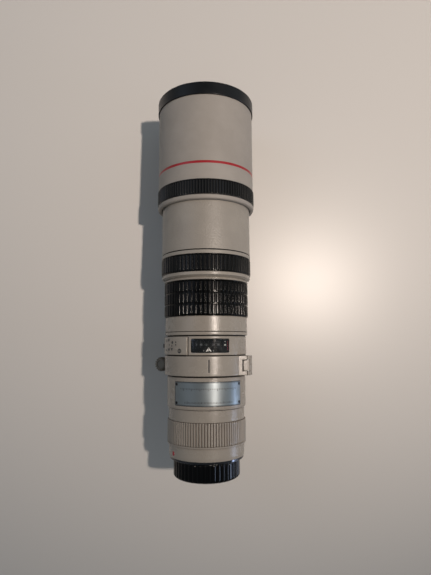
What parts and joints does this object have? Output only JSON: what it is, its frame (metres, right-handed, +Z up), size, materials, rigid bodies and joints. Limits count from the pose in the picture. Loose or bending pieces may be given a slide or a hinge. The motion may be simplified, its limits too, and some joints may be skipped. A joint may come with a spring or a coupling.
{
  "type": "super telephoto lens",
  "caption": "Long off-white telephoto lens with a draw-out hood, ribbed focusing ring, distance window, hinged tripod collar and rear cap.",
  "frame": {"origin": "centre of the mount face, the rear face of the chrome bayonet ring's flange", "axes": "+Y along the optical axis towards the front element, +Z up through the index mark with the tripod foot at -Z, +X to the right seen from behind the lens"},
  "size_m": [0.0924, 0.3398, 0.104],
  "materials": {
    "barrel_paint": "semi-gloss fine-textured off-white enamel",
    "grip_rubber": "moulded ribs, satin",
    "rim_plastic": "satin moulded",
    "black_plastic": "fine matt moulding",
    "black_anodised": "black anodised, matt",
    "mount_chrome": "hard chrome, satin bright",
    "steel": "turned",
    "plain_aluminium": "turned, clear anodised",
    "brass": "bright, gold plated on the contacts",
    "lens_glass": "polished and coated",
    "window_plastic": "clear moulded window",
    "plate_aluminium": "brushed, blue-grey",
    "dark_rivet": "blackened",
    "index_red": "gloss",
    "board": "solder mask",
    "blade_black": "matt black coating on spring steel",
    "knob_paint": "satin, ridged",
    "cap_plastic": "glossy moulded"
  },
  "bodies": {
    "barrel": {"mount_ring": "mount_chrome", "mount_screws": "steel", "contact_block": "black_plastic", "contact_pins": "brass", "rear_baffle": "black_plastic", "mount_dot": "index_red", "rear_barrel": "barrel_paint", "main_barrel": "barrel_paint", "nameplate": "plate_aluminium", "nameplate_rivets": "dark_rivet", "window_barrel": "barrel_paint", "window_glass": "window_plastic", "switch_panel": "barrel_paint", "middle_barrel": "barrel_paint", "inner_tube": "black_anodised", "step_band": "barrel_paint", "hold_ring": "grip_rubber", "front_barrel": "barrel_paint", "filter_ring": "black_anodised", "front_retainer": "black_anodised", "front_cell": "black_anodised", "front_element": "lens_glass", "second_element": "lens_glass", "third_element": "lens_glass", "rear_cell": "black_anodised", "sixth_element": "lens_glass", "rear_element": "lens_glass", "motor_stator": "brass", "circuit_board": "board", "iris_base": "black_anodised"},
    "focus_mode_switch": {"focus_mode_switch": "black_plastic"},
    "range_switch": {"range_switch": "black_plastic"},
    "focus_ring": {"focus_ring": "black_anodised", "focus_rubber": "grip_rubber"},
    "motor_rotor": {"motor_rotor": "steel"},
    "cam_tube": {"cam_tube": "plain_aluminium", "scale_drum": "black_anodised"},
    "focus_cell": {"focus_cell": "black_anodised", "focus_doublet": "lens_glass", "cam_rollers": "brass"},
    "iris_ring": {"iris_ring": "steel"},
    "iris_blade_1": {"iris_blade_1": "blade_black"},
    "iris_blade_2": {"iris_blade_2": "blade_black"},
    "iris_blade_3": {"iris_blade_3": "blade_black"},
    "iris_blade_4": {"iris_blade_4": "blade_black"},
    "iris_blade_5": {"iris_blade_5": "blade_black"},
    "iris_blade_6": {"iris_blade_6": "blade_black"},
    "iris_blade_7": {"iris_blade_7": "blade_black"},
    "iris_blade_8": {"iris_blade_8": "blade_black"},
    "collar_lower": {"collar_lower": "barrel_paint", "hinge_pin": "steel", "tripod_socket": "steel"},
    "collar_upper": {"collar_upper": "barrel_paint"},
    "clamp_knob": {"clamp_knob": "knob_paint", "clamp_screw": "steel"},
    "hood_guide": {"hood_guide": "black_plastic"},
    "hood": {"hood_tube": "barrel_paint", "hood_ring": "grip_rubber", "hood_rim": "rim_plastic"},
    "rear_cap": {"rear_cap": "cap_plastic"}
  },
  "joints": [
    {"name": "focus_turn", "type": "hinge", "parent": "barrel", "child": "focus_ring", "pos_m": [0, 0.1356, 0], "axis": [0, 1, 0], "range_deg": [-60, 90]},
    {"name": "cam_turn", "type": "hinge", "parent": "barrel", "child": "cam_tube", "pos_m": [0, 0.12, 0], "axis": [0, 1, 0], "range_deg": [-30.2, 45.2]},
    {"name": "focus_slide", "type": "slide", "parent": "barrel", "child": "focus_cell", "axis": [0, 1, 0], "range_m": [-0.00562, 0.00842]},
    {"name": "rotor_turn", "type": "hinge", "parent": "barrel", "child": "motor_rotor", "pos_m": [0, 0.112, 0], "axis": [0, 1, 0], "range_deg": [-60, 90]},
    {"name": "iris_turn", "type": "hinge", "parent": "barrel", "child": "iris_ring", "pos_m": [0, 0.1038, 0], "axis": [0, 1, 0], "range_deg": [0, 32.5]},
    {"name": "blade_swing_1", "type": "hinge", "parent": "barrel", "child": "iris_blade_1", "pos_m": [0.0172, 0.10735, 0], "axis": [0, 1, 0], "range_deg": [0, 26.2]},
    {"name": "blade_swing_2", "type": "hinge", "parent": "barrel", "child": "iris_blade_2", "pos_m": [0.01216, 0.10735, -0.01216], "axis": [0, 1, 0], "range_deg": [0, 26.2]},
    {"name": "blade_swing_3", "type": "hinge", "parent": "barrel", "child": "iris_blade_3", "pos_m": [0, 0.10735, -0.0172], "axis": [0, 1, 0], "range_deg": [0, 26.2]},
    {"name": "blade_swing_4", "type": "hinge", "parent": "barrel", "child": "iris_blade_4", "pos_m": [-0.01216, 0.10735, -0.01216], "axis": [0, 1, 0], "range_deg": [0, 26.2]},
    {"name": "blade_swing_5", "type": "hinge", "parent": "barrel", "child": "iris_blade_5", "pos_m": [-0.0172, 0.10735, 0], "axis": [0, 1, 0], "range_deg": [0, 26.2]},
    {"name": "blade_swing_6", "type": "hinge", "parent": "barrel", "child": "iris_blade_6", "pos_m": [-0.01216, 0.10735, 0.01216], "axis": [0, 1, 0], "range_deg": [0, 26.2]},
    {"name": "blade_swing_7", "type": "hinge", "parent": "barrel", "child": "iris_blade_7", "pos_m": [0, 0.10735, 0.0172], "axis": [0, 1, 0], "range_deg": [0, 26.2]},
    {"name": "blade_swing_8", "type": "hinge", "parent": "barrel", "child": "iris_blade_8", "pos_m": [0.01216, 0.10735, 0.01216], "axis": [0, 1, 0], "range_deg": [0, 26.2]},
    {"name": "collar_turn", "type": "hinge", "parent": "barrel", "child": "collar_lower", "pos_m": [0, 0.07865, 0], "axis": [0, 1, 0], "continuous": true},
    {"name": "collar_open", "type": "hinge", "parent": "collar_lower", "child": "collar_upper", "pos_m": [0.03405, 0.07865, 0.02211], "axis": [0, 1, 0], "range_deg": [0, 90]},
    {"name": "clamp_turn", "type": "hinge", "parent": "collar_upper", "child": "clamp_knob", "pos_m": [-0.03678, 0.07865, -0.02388], "axis": [-0.5446, 0, 0.8387], "range_deg": [0, 720]},
    {"name": "hood_slide", "type": "slide", "parent": "barrel", "child": "hood_guide", "axis": [0, 1, 0], "range_m": [-0.067, 0]},
    {"name": "hood_twist", "type": "hinge", "parent": "hood_guide", "child": "hood", "pos_m": [0, 0.27, 0], "axis": [0, 1, 0], "range_deg": [0, 20]},
    {"name": "mode_switch_travel", "type": "hinge", "parent": "barrel", "child": "focus_mode_switch", "pos_m": [0, 0.09555, 0], "axis": [0, 1, 0], "range_deg": [0, 5.6]},
    {"name": "range_switch_travel", "type": "hinge", "parent": "barrel", "child": "range_switch", "pos_m": [0, 0.09555, 0], "axis": [0, 1, 0], "range_deg": [0, 5.6]},
    {"name": "cap_pull", "type": "slide", "parent": "barrel", "child": "rear_cap", "axis": [0, -1, 0], "range_m": [0, 0.03]}
  ],
  "couplings": [
    {"joint": "cam_turn", "follows": "focus_turn", "ratio": 0.5},
    {"joint": "focus_slide", "follows": "focus_turn", "m_per_rad": 0.0053476},
    {"joint": "blade_swing_1", "follows": "iris_turn", "ratio": 0.8},
    {"joint": "blade_swing_2", "follows": "iris_turn", "ratio": 0.8},
    {"joint": "blade_swing_3", "follows": "iris_turn", "ratio": 0.8},
    {"joint": "blade_swing_4", "follows": "iris_turn", "ratio": 0.8},
    {"joint": "blade_swing_5", "follows": "iris_turn", "ratio": 0.8},
    {"joint": "blade_swing_6", "follows": "iris_turn", "ratio": 0.8},
    {"joint": "blade_swing_7", "follows": "iris_turn", "ratio": 0.8},
    {"joint": "blade_swing_8", "follows": "iris_turn", "ratio": 0.8}
  ]
}
